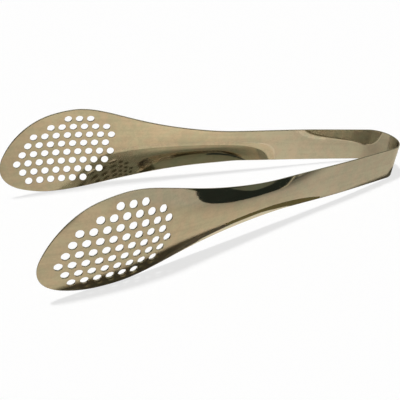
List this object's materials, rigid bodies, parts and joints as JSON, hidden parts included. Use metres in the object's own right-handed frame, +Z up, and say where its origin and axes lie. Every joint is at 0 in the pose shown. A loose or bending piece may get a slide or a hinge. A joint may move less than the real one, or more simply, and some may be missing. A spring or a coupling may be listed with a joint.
{
  "type": "serving tongs",
  "caption": "Open serving tongs bent from steel strip: a springy bow, arms pressed into a gutter and skewed, dished spoons with round drain holes.",
  "frame": {"origin": "on the table, under the middle of the open tongs' bounding box", "axes": "+X along the tongs from the spoons to the bow, +Y towards the right arm, +Z up from the table; the tongs lie on their edge and the XZ plane is their mirror plane"},
  "size_m": [0.2816, 0.116, 0.0598],
  "materials": {
    "stainless_steel": "polished, with a warm tint and a faint grain"
  },
  "bodies": {
    "bow": {"bow": "stainless_steel"},
    "right_arm": {"right_arm": "stainless_steel"},
    "left_arm": {"left_arm": "stainless_steel"}
  },
  "joints": [
    {"name": "right_arm_squeeze", "type": "hinge", "parent": "bow", "child": "right_arm", "pos_m": [0.10868, 0.01868, 0.01484], "axis": [0.0795, 0, 0.9968], "range_deg": [0, 12.6], "stiffness_Nm_per_rad": 5},
    {"name": "left_arm_squeeze", "type": "hinge", "parent": "bow", "child": "left_arm", "pos_m": [0.10868, -0.01868, 0.01484], "axis": [-0.0795, 0, -0.9968], "range_deg": [0, 12.6], "stiffness_Nm_per_rad": 5}
  ],
  "couplings": [
    {"joint": "left_arm_squeeze", "follows": "right_arm_squeeze", "ratio": 1}
  ]
}
